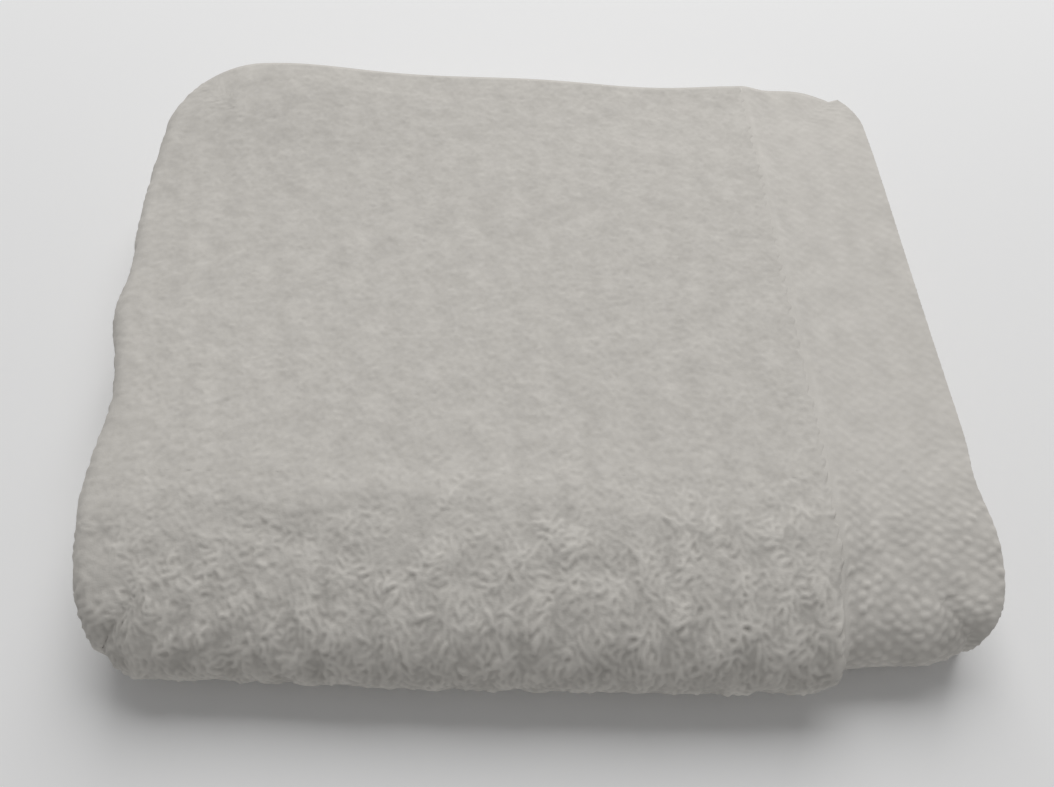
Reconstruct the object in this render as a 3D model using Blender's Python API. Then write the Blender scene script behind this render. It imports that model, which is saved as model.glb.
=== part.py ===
"""A folded bath sheet: one terry cloth with a flat woven band at each hem.

The cloth is folded end to end twice, which lays four plies on each other and makes a slab.
The slab is then folded in thirds: its far third over the middle, and the near third over both.
Twelve plies lie on each other, and the last fold is the round front. Unfolded, the cloth is
about 1.50 by 0.90 m.

Metres, +Z up. X runs along the cut length of the folded cloth, with both hems at +X.
Y runs across it, with the round front at -Y. The origin is in the middle of the underside.
"""

import math
from collections import namedtuple

import bmesh
import bpy
from mathutils import Vector

# The folded size, and the cloth's own thickness
FOLDED_LENGTH = 0.380
FOLDED_DEPTH = 0.330
PLY_PITCH = 0.0044  # from one ply of terry to the next
PLY_FILL = 0.85  # the share of a pitch that is cloth; the rest keeps the plies apart
PLIES_IN_SLAB = 4
SLAB = PLIES_IN_SLAB * PLY_PITCH

# The woven band at each hem has no pile, so its two plies lie lower than the terry
BAND_WIDTH = 0.066
BAND_THICKNESS = 0.82  # of the terry's
BAND_STEP = 0.018  # over which the cloth thins where the pile ends
BAND_PLIES = 2
HEM_WIDTH = 0.014
HEM_STEP = 0.004
HEM_THICKNESS = 0.84  # of the terry's, where the band is turned under

# First fold, seen along Y. Places in a slab are levels: 0 is its outer face, 4 its inner face
CREASE_INSET = 0.003  # how far the crease between the hems lies in from the upper hem
INNER_HEM_INSET = 0.006
HEM_X = FOLDED_LENGTH / 2
INNER_HEM_X = HEM_X - INNER_HEM_INSET
LEFT_TURN_X = -HEM_X + PLY_PITCH * (PLIES_IN_SLAB - 1 + PLY_FILL) / 2
RIGHT_TURN_X = HEM_X - CREASE_INSET - PLY_PITCH * (1 + PLY_FILL) / 2
PILE_END_X = HEM_X - BAND_WIDTH
BAND_START_X = PILE_END_X + BAND_STEP
BAND_END_X = HEM_X - HEM_WIDTH
HEM_START_X = BAND_END_X + HEM_STEP

# Second fold, seen along X. The near third droops off the far third and makes a lower nose
NOSE_DROOP = 0.68  # how far the top sinks before the nose, in slabs
DROOP_LENGTH = 0.056
INNER_EDGE_INSET = 0.004  # how far behind the droop the far third ends
TOP_EDGE_INSET = 0.006
EDGE_SLIP = 0.006  # how far a slab's inner plies end past its outer ones
NOSE_Y = -FOLDED_DEPTH / 2 + SLAB * (3 - NOSE_DROOP) / 2
DROOP_START_Y = NOSE_Y + DROOP_LENGTH
INNER_EDGE_Y = DROOP_START_Y + INNER_EDGE_INSET
BACK_TURN_Y = FOLDED_DEPTH / 2 - SLAB
TOP_EDGE_Y = FOLDED_DEPTH / 2 - TOP_EDGE_INSET
BAND_RECESS = 0.0078  # how much further back the band's nose lies than the terry's
RECESS_START_X = PILE_END_X - 0.003
RECESS_END_X = PILE_END_X + 0.010

COLOUR = (0.56, 0.54, 0.505, 1.0)
ROUGHNESS = 0.95

# A ply of the slab: its level, where it starts and ends, and where the cloth's outer side looks
# (-1 is to level 0)
Ply = namedtuple("Ply", "level start_x end_x outer")
PLIES = (
    Ply(0.5, HEM_X, LEFT_TURN_X, -1),
    Ply(3.5, LEFT_TURN_X, RIGHT_TURN_X, 1),
    Ply(2.5, RIGHT_TURN_X, LEFT_TURN_X, -1),
    Ply(1.5, LEFT_TURN_X, INNER_HEM_X, 1),
)
WIDE_TURN_STEPS = 7
TIGHT_TURN_STEPS = 3

# A third of the stack: where it starts and ends, the height of its outer face in slabs,
# whether the slab's depth is counted up or down from that face, and how far its plies slip
Third = namedtuple("Third", "start_y end_y outer_face grows slip")
TOP = Third(TOP_EDGE_Y, NOSE_Y, 3, -1, EDGE_SLIP)
BOTTOM = Third(NOSE_Y, BACK_TURN_Y, 0, 1, 0.0)
MIDDLE = Third(BACK_TURN_Y, INNER_EDGE_Y, 2, -1, 0.0)
THIRDS = (TOP, BOTTOM, MIDDLE)
NOSE_STEPS = 9
BACK_STEPS = 6
CLOSEST = 0.002  # two cuts across a run never lie closer

# How finely a straight run is cut, as steps from one place to the next
Stretch = namedtuple("Stretch", "start end steps")
ALONG_X = (
    Stretch(LEFT_TURN_X, -0.130, 3),
    Stretch(-0.130, PILE_END_X, 5),
    Stretch(PILE_END_X, BAND_START_X, 3),
    Stretch(BAND_START_X, BAND_END_X, 2),
    Stretch(BAND_END_X, HEM_START_X, 1),
)
ALONG_Y = (
    Stretch(NOSE_Y, DROOP_START_Y, 3),
    Stretch(DROOP_START_Y, 0.105, 3),
    Stretch(0.105, TOP_EDGE_Y, 3),
)

# Plan corners: the side of X and Y that they lie on, their radius, and how round they are
Corner = namedtuple("Corner", "side_x side_y reach roundness")
CORNERS = (
    Corner(-1, 1, 0.052, 1.0),
    Corner(1, 1, 0.040, 1.0),
    Corner(-1, -1, 0.046, 1.0),
    Corner(1, -1, 0.030, 1.0),
)
CORNER_POWER = 6.0

# Broad rises (+) and hollows (-) of the stack, as a share of its height
Swell = namedtuple("Swell", "x y across_x across_y rise")
SWELLS = (
    Swell(-0.135, 0.150, 0.060, 0.045, 0.13),
    Swell(-0.060, 0.050, 0.120, 0.080, -0.025),
    Swell(0.060, -0.020, 0.080, 0.090, 0.020),
    Swell(-0.150, -0.090, 0.060, 0.050, 0.030),
    Swell(0.010, -0.125, 0.045, 0.035, 0.030),
    Swell(-0.110, -0.135, 0.040, 0.030, -0.030),
    Swell(0.090, 0.160, 0.060, 0.060, -0.085),
    Swell(0.175, 0.160, 0.045, 0.045, -0.130),
)

# How far a side leans out (+) of its straight line, in places along that side
Lean = namedtuple("Lean", "place width out")
LEFT_LEANS = (
    Lean(0.064, 0.072, 0.0060),
    Lean(-0.050, 0.023, -0.0068),
    Lean(-0.120, 0.040, -0.0010),
)
RIGHT_LEANS = (
    Lean(-0.122, 0.017, 0.0066),
    Lean(-0.090, 0.014, -0.0018),
    Lean(0.050, 0.200, -0.0030),
)
FRONT_LEANS = (
    Lean(0.060, 0.060, 0.0012),
    Lean(-0.140, 0.050, -0.0032),
    Lean(0.170, 0.040, -0.0012),
)
BACK_LEANS = (
    Lean(-0.130, 0.050, 0.0034),
    Lean(0.070, 0.050, -0.0036),
)
SKEW = 0.016  # how far the folded oblong has slipped into a lozenge


def ease(start, end, value):
    """0 before start, 1 after end, and a soft step between."""
    share = min(max((value - start) / (end - start), 0.0), 1.0)
    return share * share * (3.0 - 2.0 * share)


def hump(distance):
    """A soft bell: 1 at 0 and next to nothing past 2."""
    return math.exp(-distance * distance)


def cloth_share(x):
    """The thickness of the two plies that end in hems, as a share of the terry's."""
    band = ease(PILE_END_X, BAND_START_X, x)
    hem = ease(BAND_END_X, HEM_START_X, x)
    return 1.0 + (BAND_THICKNESS - 1.0) * band + (HEM_THICKNESS - BAND_THICKNESS) * hem


def depth(level, x):
    """How deep a level lies under the slab's outer face."""
    thin = min(level, BAND_PLIES) * cloth_share(x)
    return PLY_PITCH * (thin + max(level - BAND_PLIES, 0.0))


def slab_section(side):
    """X and level along one skin of the four plies, side 1 for the outer one and -1 for the inner."""
    points = []
    for ply, after in zip(PLIES, PLIES[1:] + (None,)):
        level = ply.level + side * ply.outer * PLY_FILL / 2
        points += [(x, level) for x in stations(ALONG_X, ply.start_x, ply.end_x)]
        if after is None:
            continue
        middle = (ply.level + after.level) / 2
        arm = level - middle
        way = math.copysign(1.0, ply.end_x - ply.start_x)
        turn_steps = WIDE_TURN_STEPS if abs(arm) > 1.0 else TIGHT_TURN_STEPS
        for step in range(1, turn_steps):
            angle = math.pi * step / turn_steps
            points.append((
                ply.end_x + way * PLY_PITCH * abs(arm) * math.sin(angle),
                middle + arm * math.cos(angle),
            ))
    return points


def stations(stretches, start, end):
    """The places at which a run from start to end is cut."""
    places = [stretches[-1].end]
    for stretch in stretches:
        for step in range(stretch.steps):
            places.append(stretch.start + (stretch.end - stretch.start) * step / stretch.steps)
    low, high = min(start, end), max(start, end)
    inside = [place for place in places if low + CLOSEST < place < high - CLOSEST]
    return [start] + sorted(inside, reverse=start > end) + [end]


def outer_face(third, y, slab):
    """The height of a third's outer face."""
    droop = 0.0
    if third is TOP:
        droop = NOSE_DROOP * (1.0 - ease(NOSE_Y, DROOP_START_Y, y))
    return slab * (third.outer_face - droop)


def stack_steps():
    """Each step of the second fold: its third, and its Y or, in a turn, the next third and angle."""
    steps = []
    for third, after, turn_steps in zip(THIRDS, THIRDS[1:] + (None,), (NOSE_STEPS, BACK_STEPS, 0)):
        steps += [(third, None, y) for y in stations(ALONG_Y, third.start_y, third.end_y)]
        steps += [(third, after, math.pi * step / turn_steps) for step in range(1, turn_steps)]
    return steps


def fold_over(x, level, step):
    """The place of a point of the slab once the slab is folded in thirds."""
    third, after, place = step
    slab = depth(PLIES_IN_SLAB, x)
    deep = depth(level, x)
    if after is None:
        slip = third.slip * level / PLIES_IN_SLAB * (place == third.start_y)
        return Vector((x, place + slip, outer_face(third, place, slab) + third.grows * deep))
    leaves = outer_face(third, third.end_y, slab)
    enters = outer_face(after, after.start_y, slab)
    middle = (leaves + enters) / 2
    arm = leaves - middle
    reach = abs(arm) - deep
    way = math.copysign(1.0, third.end_y - third.start_y)
    y = third.end_y + way * reach * math.sin(place)
    return Vector((x, y, middle + math.copysign(reach, arm) * math.cos(place)))


def lay_down(point):
    """Sinks the stack on to its lowest ply, so that the underside is one plane."""
    point.z -= PLY_PITCH * cloth_share(point.x) * (1.0 - PLY_FILL) / 2
    return point


def lean_out(leans, place):
    return sum(lean.out * hump((place - lean.place) / lean.width) for lean in leans)


def swell_distance(swell, point):
    return math.hypot((point.x - swell.x) / swell.across_x, (point.y - swell.y) / swell.across_y)


def round_corner(point, corner):
    """Draws a square plan corner in to a round one."""
    centre_x = corner.side_x * (FOLDED_LENGTH / 2 - corner.reach)
    centre_y = corner.side_y * (FOLDED_DEPTH / 2 - corner.reach)
    over_x = (point.x - centre_x) * corner.side_x
    over_y = (point.y - centre_y) * corner.side_y
    if over_x <= 0.0 or over_y <= 0.0:
        return
    squared_off = (over_x**CORNER_POWER + over_y**CORNER_POWER) ** (1.0 / CORNER_POWER)
    keep = 1.0 - corner.roundness * (1.0 - squared_off / math.hypot(over_x, over_y))
    point.x = centre_x + corner.side_x * over_x * keep
    point.y = centre_y + corner.side_y * over_y * keep


def settle(point):
    """Gives the stack the unevenness of real cloth, with its underside left flat."""
    for corner in CORNERS:
        round_corner(point, corner)
    share_x = point.x / (FOLDED_LENGTH / 2)
    share_y = point.y / (FOLDED_DEPTH / 2)
    rise = sum(swell.rise * hump(swell_distance(swell, point)) for swell in SWELLS)
    out_x = LEFT_LEANS if share_x < 0.0 else RIGHT_LEANS
    out_y = FRONT_LEANS if share_y < 0.0 else BACK_LEANS
    recess = BAND_RECESS * ease(RECESS_START_X, RECESS_END_X, point.x) * ease(0.0, -NOSE_Y, -point.y)
    moved_x = point.x + share_x * abs(share_x) * lean_out(out_x, point.y)
    moved_y = point.y + share_y * abs(share_y) * lean_out(out_y, point.x) + recess
    return Vector((moved_x - SKEW * point.y, moved_y - SKEW * point.x, point.z * (1.0 + rise)))


def fold_cloth(sheet):
    """Takes the flat sheet's points, which hold row, column and side, to their folded places."""
    sections = {side: slab_section(side) for side in (1, -1)}
    steps = stack_steps()
    for vert in sheet.verts:
        x, level = sections[1 if vert.co.z > 0.5 else -1][round(vert.co.x)]
        vert.co = settle(lay_down(fold_over(x, level, steps[round(vert.co.y)])))


def flat_sheet():
    """The cut cloth as a closed sheet, one unit to each row and column and one unit thick."""
    columns = len(slab_section(1)) - 1
    rows = len(stack_steps()) - 1
    sheet = bmesh.new()
    bmesh.ops.create_grid(sheet, x_segments=columns, y_segments=rows, size=0.5)
    bmesh.ops.translate(sheet, vec=(0.5, 0.5, 0.0), verts=sheet.verts)
    bmesh.ops.scale(sheet, vec=(columns, rows, 1.0), verts=sheet.verts)
    raised = bmesh.ops.extrude_face_region(sheet, geom=list(sheet.faces), use_keep_orig=True)
    raised_verts = [item for item in raised["geom"] if isinstance(item, bmesh.types.BMVert)]
    bmesh.ops.translate(sheet, vec=(0.0, 0.0, 1.0), verts=raised_verts)
    return sheet


def centre_on_origin(sheet):
    """Puts the origin in the middle of the underside."""
    for axis in (0, 1):
        places = [vert.co[axis] for vert in sheet.verts]
        middle = (min(places) + max(places)) / 2
        for vert in sheet.verts:
            vert.co[axis] -= middle


def turn_faces_out(sheet):
    bmesh.ops.recalc_face_normals(sheet, faces=sheet.faces)
    if sheet.calc_volume(signed=True) < 0.0:
        bmesh.ops.reverse_faces(sheet, faces=sheet.faces)


def cut_quads(sheet):
    """Cuts each quad along the diagonal on which Y grows with X, so that the plies' facets nest."""
    for face in list(sheet.faces):
        first, second, third, fourth = face.verts
        across = third.co - first.co
        ends = (first, third) if across.x * across.y > 0.0 else (second, fourth)
        bmesh.utils.face_split(face, *ends)


def terry_material():
    material = bpy.data.materials.new("terry_cotton")
    material.use_nodes = True
    shader = material.node_tree.nodes["Principled BSDF"]
    shader.inputs["Base Color"].default_value = COLOUR
    shader.inputs["Roughness"].default_value = ROUGHNESS
    shader.inputs["Metallic"].default_value = 0.0
    return material


def make_bath_sheet():
    sheet = flat_sheet()
    fold_cloth(sheet)
    centre_on_origin(sheet)
    cut_quads(sheet)
    turn_faces_out(sheet)
    mesh = bpy.data.meshes.new("bath_sheet")
    sheet.to_mesh(mesh)
    sheet.free()
    mesh.shade_smooth()
    mesh.set_sharp_from_angle(angle=math.radians(60.0))
    mesh.materials.append(terry_material())
    bath_sheet = bpy.data.objects.new("bath_sheet", mesh)
    bpy.context.scene.collection.objects.link(bath_sheet)
    return bath_sheet


def clear_scene():
    for leftover in list(bpy.data.objects):
        bpy.data.objects.remove(leftover, do_unlink=True)


clear_scene()
make_bath_sheet()
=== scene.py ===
# %% [markdown]
# # Dressing a folded bath sheet
# A bath sheet is one big terry cloth: a plain woven ground with a pile of yarn loops on both faces,
# and at each end a flat band with no pile and a narrow hem. This one was folded in half twice
# along its length and then in thirds, so twelve plies lie on each other and the last fold makes
# a soft round front.
#
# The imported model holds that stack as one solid. It is loaded first, as a fixed frame: nothing in
# it is moved or changed. Everything made below takes its size and place from it.

import math
from collections import namedtuple

import bpy
import numpy as np
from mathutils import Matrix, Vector
from mathutils.bvhtree import BVHTree
from mathutils.kdtree import KDTree


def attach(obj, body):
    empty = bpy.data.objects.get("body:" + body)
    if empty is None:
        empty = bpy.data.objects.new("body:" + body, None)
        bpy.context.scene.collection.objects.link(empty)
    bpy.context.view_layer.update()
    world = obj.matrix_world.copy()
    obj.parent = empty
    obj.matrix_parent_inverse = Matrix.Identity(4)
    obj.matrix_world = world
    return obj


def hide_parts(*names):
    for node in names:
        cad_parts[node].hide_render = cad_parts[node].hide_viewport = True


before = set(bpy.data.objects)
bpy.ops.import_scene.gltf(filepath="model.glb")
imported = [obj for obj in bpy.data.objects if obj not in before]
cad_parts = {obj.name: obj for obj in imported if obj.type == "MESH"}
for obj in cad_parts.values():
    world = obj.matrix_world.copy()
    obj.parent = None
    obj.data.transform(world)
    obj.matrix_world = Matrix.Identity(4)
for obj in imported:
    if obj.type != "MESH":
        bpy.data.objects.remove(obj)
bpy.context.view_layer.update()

# %% [markdown]
# ## Camera
# The cloth is seen from above its round front, with the camera close: the near edge looks much
# wider than the far one. A wide lens at about 45 cm gives that. Depth of field stays off.

# %% Set the camera
CAMERA_PLACE = (-0.0029, -0.2397, 0.3803)
CAMERA_TURN = (30.24, -0.07, -0.54)  # degrees about X, Y and Z
LENS_MM = 29.44


def set_camera():
    data = bpy.data.cameras.new("camera")
    data.lens = LENS_MM
    data.clip_start = 0.01
    camera = bpy.data.objects.new("camera", data)
    camera.location = CAMERA_PLACE
    camera.rotation_euler = [math.radians(turn) for turn in CAMERA_TURN]
    bpy.context.scene.collection.objects.link(camera)
    bpy.context.scene.camera = camera


set_camera()
print("camera with a", LENS_MM, "mm lens at", CAMERA_PLACE)

# %% [markdown]
# ## Light and floor
# White cloth needs soft light that still has a direction, or its loops would have no shade. One
# wide panel hangs over the cloth and a pale sky fills in the rest. The floor is plain and pale,
# and a little light bounces off it on to the round front.
#
# The Standard view keeps the greys of the cloth as they are lit, with no film curve on them.

# %% Light the floor
PANEL_SIZE = 2.0
PANEL_PLACE = (0.25, 1.68, 2.00)
PANEL_WATTS = 51.5
SKY_STRENGTH = 0.236
FLOOR_SIZE = 8.0
FLOOR_WHITE = (0.96, 0.96, 0.96, 1.0)
FLOOR_DROP = 0.0003  # the floor lies this far under the cloth


def light_scene():
    data = bpy.data.lights.new("panel", "AREA")
    data.shape = "SQUARE"
    data.size = PANEL_SIZE
    data.energy = PANEL_WATTS
    panel = bpy.data.objects.new("panel", data)
    panel.location = PANEL_PLACE
    aim = Vector((0.0, 0.0, 0.0)) - panel.location
    panel.rotation_euler = aim.to_track_quat("-Z", "Y").to_euler()
    bpy.context.scene.collection.objects.link(panel)

    sky = bpy.data.worlds.new("pale sky")
    sky.use_nodes = True
    sky.node_tree.nodes["Background"].inputs["Color"].default_value = (1.0, 1.0, 1.0, 1.0)
    sky.node_tree.nodes["Background"].inputs["Strength"].default_value = SKY_STRENGTH
    bpy.context.scene.world = sky
    bpy.context.scene.view_settings.view_transform = "Standard"


def lay_floor():
    bpy.ops.object.select_all(action="DESELECT")
    bpy.ops.mesh.primitive_plane_add(size=FLOOR_SIZE, location=(0.0, 0.0, -FLOOR_DROP))
    floor = bpy.context.object
    floor.name = "floor"
    paint = bpy.data.materials.new("pale_floor")
    paint.use_nodes = True
    shader = paint.node_tree.nodes["Principled BSDF"]
    shader.inputs["Base Color"].default_value = FLOOR_WHITE
    shader.inputs["Roughness"].default_value = 0.9
    floor.data.materials.append(paint)


light_scene()
lay_floor()
print("panel of", PANEL_WATTS, "W over a floor", FLOOR_SIZE, "m wide")

# %% [markdown]
# ## Sizes of the cloth
# These are the sizes that the solid was folded from: the pitch of the plies, the places of the
# turns, the band and the hem. The cloth that shows is folded along the same lines, so it lies
# inside the solid's skin and leaves room for its pile.

# %% Name the sizes
FOLDED_LENGTH = 0.380
FOLDED_DEPTH = 0.330
PLY_PITCH = 0.0044
PLY_FILL = 0.85
PLIES_IN_SLAB = 4
SLAB = PLIES_IN_SLAB * PLY_PITCH
BAND_WIDTH = 0.066
BAND_THICKNESS = 0.82
BAND_STEP = 0.018
BAND_PLIES = 2
HEM_WIDTH = 0.014
HEM_STEP = 0.004
HEM_THICKNESS = 0.84
CREASE_INSET = 0.003
INNER_HEM_INSET = 0.006
HEM_X = FOLDED_LENGTH / 2
INNER_HEM_X = HEM_X - INNER_HEM_INSET
LEFT_TURN_X = -HEM_X + PLY_PITCH * (PLIES_IN_SLAB - 1 + PLY_FILL) / 2
RIGHT_TURN_X = HEM_X - CREASE_INSET - PLY_PITCH * (1 + PLY_FILL) / 2
PILE_END_X = HEM_X - BAND_WIDTH
BAND_START_X = PILE_END_X + BAND_STEP
BAND_END_X = HEM_X - HEM_WIDTH
HEM_START_X = BAND_END_X + HEM_STEP
NOSE_DROOP = 0.68
DROOP_LENGTH = 0.056
INNER_EDGE_INSET = 0.004
TOP_EDGE_INSET = 0.006
EDGE_SLIP = 0.006
NOSE_Y = -FOLDED_DEPTH / 2 + SLAB * (3 - NOSE_DROOP) / 2
DROOP_START_Y = NOSE_Y + DROOP_LENGTH
INNER_EDGE_Y = DROOP_START_Y + INNER_EDGE_INSET
BACK_TURN_Y = FOLDED_DEPTH / 2 - SLAB
TOP_EDGE_Y = FOLDED_DEPTH / 2 - TOP_EDGE_INSET
BAND_RECESS = 0.0078  # how far the band's nose lies behind the pile's
RECESS_START_X = PILE_END_X - 0.0020
RECESS_END_X = PILE_END_X + 0.0050
UNDERCUT = 0.0160  # how far to the left the recess begins at the foot of the nose
UNDERCUT_TOP, UNDERCUT_FOOT = 0.028, 0.008
PILE_PULL = 0.0040  # how far the end of the pile is drawn to the left round the front
PULL_REACH = 0.045
PULL_START_Y, PULL_END_Y = -0.085, -0.150
print("twelve plies at", 1000 * PLY_PITCH, "mm")

# %% [markdown]
# ## Plies, thirds and unevenness
# Four plies lie on each other after the first folds, and that slab is folded in thirds. A stack
# that was folded by hand never lies true, so the corners are drawn in, low swells rise on it,
# and each side leans in and out along its length.

# %% List the plies and the swells
Ply = namedtuple("Ply", "level start_x end_x")
PLIES = (
    Ply(0.5, HEM_X, LEFT_TURN_X),
    Ply(3.5, LEFT_TURN_X, RIGHT_TURN_X),
    Ply(2.5, RIGHT_TURN_X, LEFT_TURN_X),
    Ply(1.5, LEFT_TURN_X, INNER_HEM_X),
)
Third = namedtuple("Third", "start_y end_y outer_face grows slip")
TOP = Third(TOP_EDGE_Y, NOSE_Y, 3, -1, EDGE_SLIP)
BOTTOM = Third(NOSE_Y, BACK_TURN_Y, 0, 1, 0.0)
MIDDLE = Third(BACK_TURN_Y, INNER_EDGE_Y, 2, -1, 0.0)
THIRDS = (TOP, BOTTOM, MIDDLE)

Corner = namedtuple("Corner", "side_x side_y reach")
CORNERS = (
    Corner(-1, 1, 0.047),
    Corner(1, 1, 0.038),
    Corner(-1, -1, 0.034),
    Corner(1, -1, 0.030),
)
Swell = namedtuple("Swell", "x y across_x across_y rise")
SWELLS = (
    Swell(-0.135, 0.150, 0.060, 0.045, 0.13),
    Swell(-0.060, 0.050, 0.120, 0.080, -0.025),
    Swell(0.060, -0.020, 0.080, 0.090, 0.020),
    Swell(-0.150, -0.090, 0.060, 0.050, 0.030),
    Swell(0.010, -0.125, 0.045, 0.035, 0.030),
    Swell(-0.110, -0.135, 0.040, 0.030, -0.030),
    Swell(0.090, 0.160, 0.060, 0.060, -0.085),
    Swell(0.175, 0.160, 0.045, 0.045, -0.085),
)
Lean = namedtuple("Lean", "place width out")
LEFT_LEANS = (
    Lean(0.064, 0.072, 0.0060),
    Lean(-0.050, 0.023, -0.0040),
    Lean(-0.120, 0.040, -0.0010),
    Lean(-0.001, 0.015, 0.0036),
    Lean(0.032, 0.014, -0.0012),
    Lean(-0.145, 0.022, -0.0034),
)
RIGHT_LEANS = (
    Lean(-0.122, 0.017, 0.0020),
    Lean(-0.090, 0.014, -0.0018),
    Lean(0.050, 0.200, -0.0030),
)
FRONT_LEANS = (
    Lean(0.060, 0.060, 0.0012),
    Lean(-0.140, 0.050, -0.0032),
    Lean(0.170, 0.040, -0.0012),
)
BACK_LEANS = (
    Lean(-0.130, 0.050, 0.0034),
    Lean(0.070, 0.050, -0.0036),
)
SKEW = 0.016
SOLID_CENTRE = (0.00004, 0.00231)  # of the folded cloth before it is moved to the middle
print(len(PLIES), "plies in", len(THIRDS), "thirds, with", len(SWELLS), "swells")

# %% [markdown]
# ## Where the cloth is cut into squares
# A grid is folded far more cleanly than a shape is sculpted: each column of the grid keeps its
# place along the cloth, and each row its place across it. The rows and columns lie close
# where the cloth turns or shows, and far apart where plies hide each other.

# %% Lay out the columns and rows
FINE = 0.005
COARSE = 0.030
WIDE_TURN_STEPS = 12
TIGHT_TURN_STEPS = 6
NOSE_STEPS = 18
BACK_STEPS = 14
RAMP_X = (PILE_END_X - 0.012, PILE_END_X + 0.009)
SHOWS = ((-1.0, RAMP_X[0], FINE), (*RAMP_X, 0.0015), (RAMP_X[1], 1.0, FINE))
HIDDEN_X = ((-1.0, -0.165, FINE), (-0.165, 0.110, COARSE), (0.110, 1.0, 0.008))
HIDDEN_Y = ((-1.0, -0.115, FINE), (-0.115, 0.125, COARSE), (0.125, 1.0, FINE))


def stations(stretches, start, end):
    """The places at which a run from start to end is cut, both ends included."""
    low, high = min(start, end), max(start, end)
    places = []
    for first, last, step in stretches:
        first, last = max(first, low), min(last, high)
        if last <= first:
            continue
        count = max(1, round((last - first) / step))
        places += [first + (last - first) * number / count for number in range(count)]
    places.append(high)
    return places if start < end else places[::-1]


def slab_section():
    """X and level along the middle of the four plies, for each column of the grid."""
    points = []
    for ply, after in zip(PLIES, PLIES[1:] + (None,)):
        stretches = SHOWS if ply is PLIES[0] else HIDDEN_X
        points += [(x, ply.level) for x in stations(stretches, ply.start_x, ply.end_x)]
        if after is None:
            continue
        middle = (ply.level + after.level) / 2
        arm = ply.level - middle
        way = math.copysign(1.0, ply.end_x - ply.start_x)
        turn_steps = WIDE_TURN_STEPS if abs(arm) > 1.0 else TIGHT_TURN_STEPS
        for step in range(1, turn_steps):
            angle = math.pi * step / turn_steps
            x = ply.end_x + way * PLY_PITCH * abs(arm) * math.sin(angle)
            points.append((x, middle + arm * math.cos(angle)))
    return points


def stack_steps():
    """Each row's third of the stack and its Y or, in a turn, the next third and the angle."""
    steps = []
    for third, after, turn_steps in zip(THIRDS, THIRDS[1:] + (None,), (NOSE_STEPS, BACK_STEPS, 0)):
        stretches = SHOWS if third is TOP else HIDDEN_Y
        steps += [(third, None, y) for y in stations(stretches, third.start_y, third.end_y)]
        steps += [(third, after, math.pi * step / turn_steps) for step in range(1, turn_steps)]
    return steps


section = slab_section()
steps = stack_steps()
print(len(section), "columns and", len(steps), "rows")

# %% [markdown]
# ## Folding
# The same two folds as in the solid: end to end twice, then in thirds. A row of the slab lies
# flat on its third, or goes round one of the two turns between the thirds.

# %% Write the folds
def ease(start, end, value):
    """0 before start, 1 after end, and a soft step between. It takes numbers or arrays."""
    share = np.clip((value - start) / (end - start), 0.0, 1.0)
    return share * share * (3.0 - 2.0 * share)


def hump(distance):
    return np.exp(-distance * distance)


def cloth_share(x):
    band = ease(PILE_END_X, BAND_START_X, x)
    hem = ease(BAND_END_X, HEM_START_X, x)
    return 1.0 + (BAND_THICKNESS - 1.0) * band + (HEM_THICKNESS - BAND_THICKNESS) * hem


def depth(level, x):
    thin = np.minimum(level, BAND_PLIES) * cloth_share(x)
    return PLY_PITCH * (thin + np.maximum(level - BAND_PLIES, 0.0))


def outer_face(third, y, slab):
    droop = NOSE_DROOP * (1.0 - ease(NOSE_Y, DROOP_START_Y, y)) if third is TOP else 0.0
    return slab * (third.outer_face - droop)


def fold_row(x, level, step):
    """The places of one row of the slab, once it is folded in thirds."""
    third, after, place = step
    slab = depth(PLIES_IN_SLAB, x)
    deep = depth(level, x)
    if after is None:
        slip = third.slip * level / PLIES_IN_SLAB * (place == third.start_y)
        height = outer_face(third, place, slab) + third.grows * deep
        return np.stack([x, place + slip, height], axis=1)
    leaves = outer_face(third, third.end_y, slab)
    enters = outer_face(after, after.start_y, slab)
    middle = (leaves + enters) / 2
    arm = leaves - middle
    reach = np.abs(arm) - deep
    way = math.copysign(1.0, third.end_y - third.start_y)
    y = third.end_y + way * reach * math.sin(place)
    return np.stack([x, y, middle + np.copysign(reach, arm) * math.cos(place)], axis=1)


print("the slab is", round(1000 * float(depth(PLIES_IN_SLAB, 0.0)), 1), "mm thick")

# %% [markdown]
# ## Rounding
# A folded corner has no point, because the inner plies pull it in. And the last fold has no
# edge: its cloth falls from the top to the foot of the front in one even curve.

# %% Round the corners and the front
def round_corner(points, corner):
    """Draws a square corner of the stack in to a quarter of a circle."""
    centre_x = corner.side_x * (FOLDED_LENGTH / 2 - corner.reach)
    centre_y = corner.side_y * (FOLDED_DEPTH / 2 - corner.reach)
    over_x = np.maximum((points[:, 0] - centre_x) * corner.side_x, 0.0)
    over_y = np.maximum((points[:, 1] - centre_y) * corner.side_y, 0.0)
    inside = (over_x > 0.0) & (over_y > 0.0)
    keep = np.maximum(over_x, over_y) / np.maximum(np.hypot(over_x, over_y), 1e-9)
    points[inside, 0] = centre_x + corner.side_x * (over_x * keep)[inside]
    points[inside, 1] = centre_y + corner.side_y * (over_y * keep)[inside]


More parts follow.
